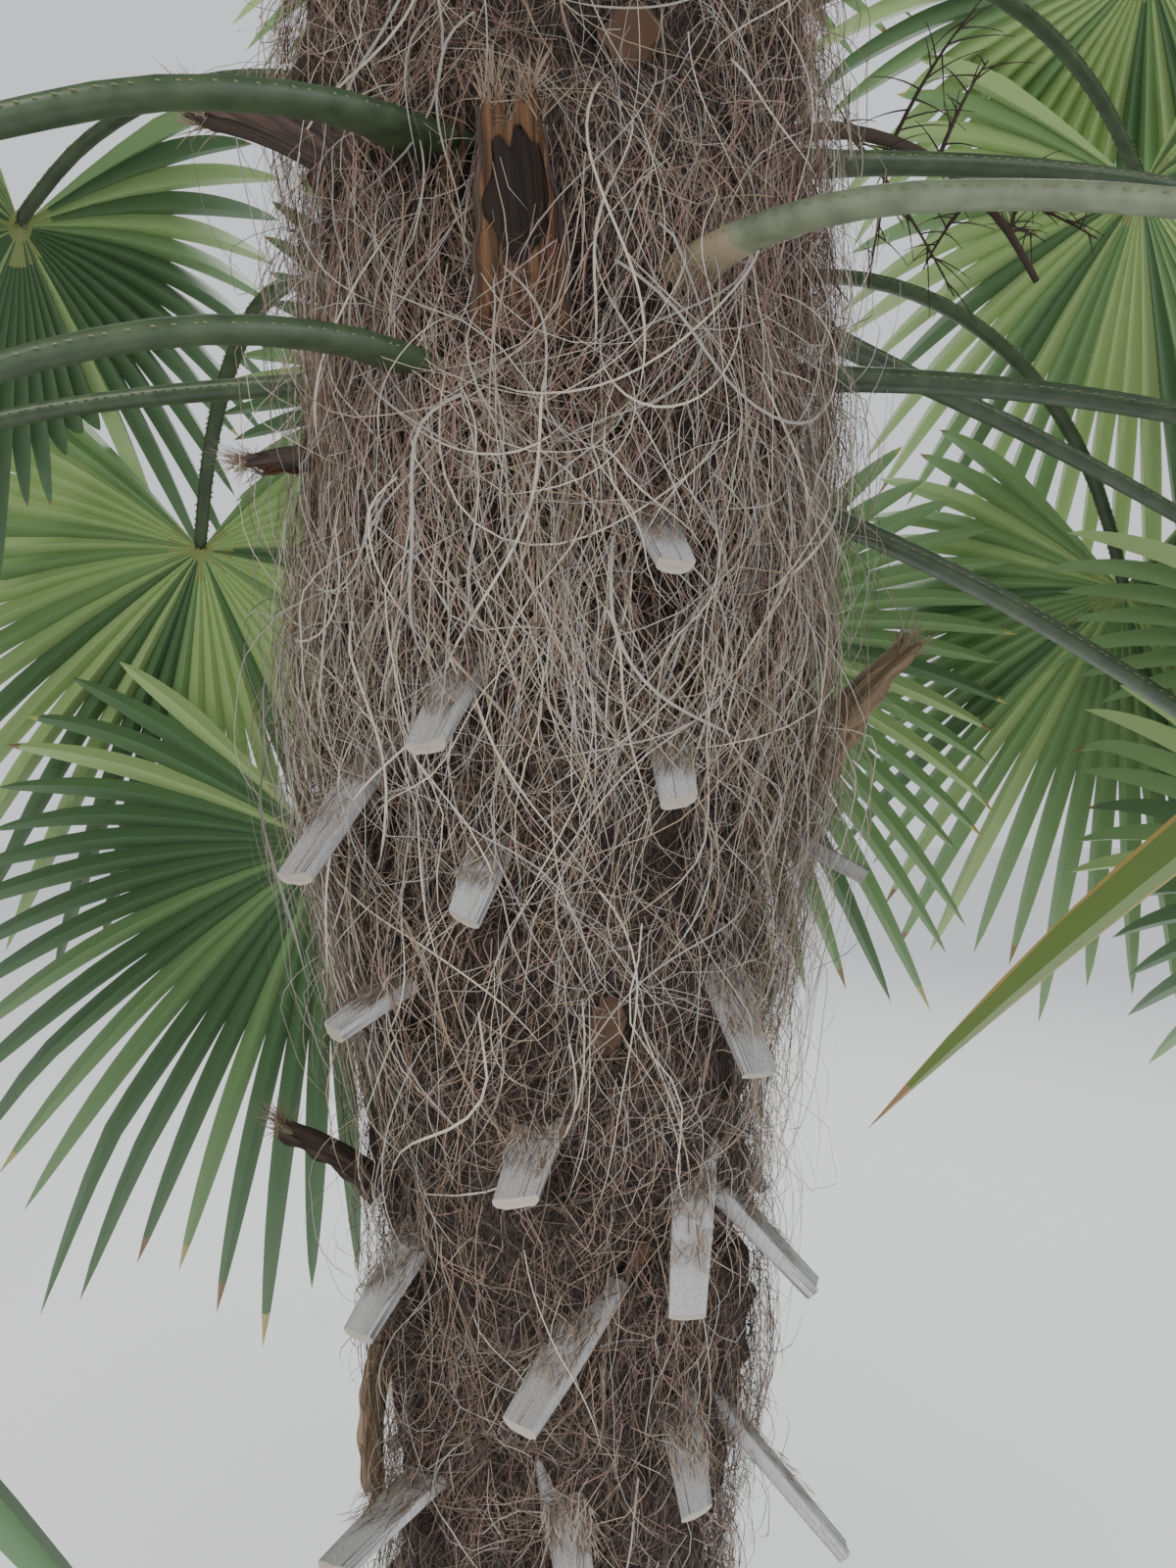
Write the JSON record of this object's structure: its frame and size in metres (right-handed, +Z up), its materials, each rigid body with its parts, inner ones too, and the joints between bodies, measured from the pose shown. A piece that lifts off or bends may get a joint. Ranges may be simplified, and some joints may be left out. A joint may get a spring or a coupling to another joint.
{
  "type": "windmill palm",
  "caption": "Upright fan palm: a stout trunk shaggy with brown fibre, pale cut leaf stubs, and a round crown of fan fronds on arching stalks.",
  "frame": {"origin": "centre of the flat cut under the trunk, at ground level", "axes": "+Z up the trunk, -Y towards the viewer of the picture, +X to that viewer's right"},
  "size_m": [2.4073, 2.3181, 3.1097],
  "materials": {
    "trunk": "rough, shaggy coat of dry brown and straw-coloured fibre with pale weathered leaf stubs",
    "husk": "matte, dry and fibrous, orange-brown inside",
    "stalk": "satin green, paler along the edges, with small teeth",
    "fan": "satin, pleated green leaf with yellow and brown tips",
    "spear": "satin, pale green unopened leaf with white down",
    "flower_stalk": "matte, dry and dark brown"
  },
  "bodies": {
    "root": {"trunk": "trunk", "husk_front": "husk", "husk_left": "husk", "husk_right": "husk", "stalk_01": "stalk", "stalk_02": "stalk", "stalk_03": "stalk", "stalk_04": "stalk", "stalk_05": "stalk", "stalk_06": "stalk", "stalk_07": "stalk", "stalk_08": "stalk", "stalk_09": "stalk", "stalk_10": "stalk", "stalk_11": "stalk", "stalk_12": "stalk", "stalk_13": "stalk", "stalk_14": "stalk", "stalk_15": "stalk", "stalk_16": "stalk", "stalk_17": "stalk", "stalk_18": "stalk", "stalk_19": "stalk", "stalk_20": "stalk", "stalk_21": "stalk", "stalk_22": "stalk", "stalk_23": "stalk", "stalk_24": "stalk", "stalk_25": "stalk", "stalk_26": "stalk", "stalk_27": "stalk", "spear": "spear", "flower_stalk": "flower_stalk", "fan_01": "fan", "fan_02": "fan", "fan_03": "fan", "fan_04": "fan", "fan_05": "fan", "fan_06": "fan", "fan_07": "fan", "fan_08": "fan", "fan_09": "fan", "fan_10": "fan", "fan_11": "fan", "fan_12": "fan", "fan_13": "fan", "fan_14": "fan", "fan_15": "fan", "fan_16": "fan", "fan_17": "fan", "fan_18": "fan", "fan_19": "fan", "fan_20": "fan", "fan_21": "fan", "fan_22": "fan", "fan_23": "fan", "fan_24": "fan", "fan_25": "fan", "fan_26": "fan", "fan_27": "fan"}
  },
  "joints": []
}
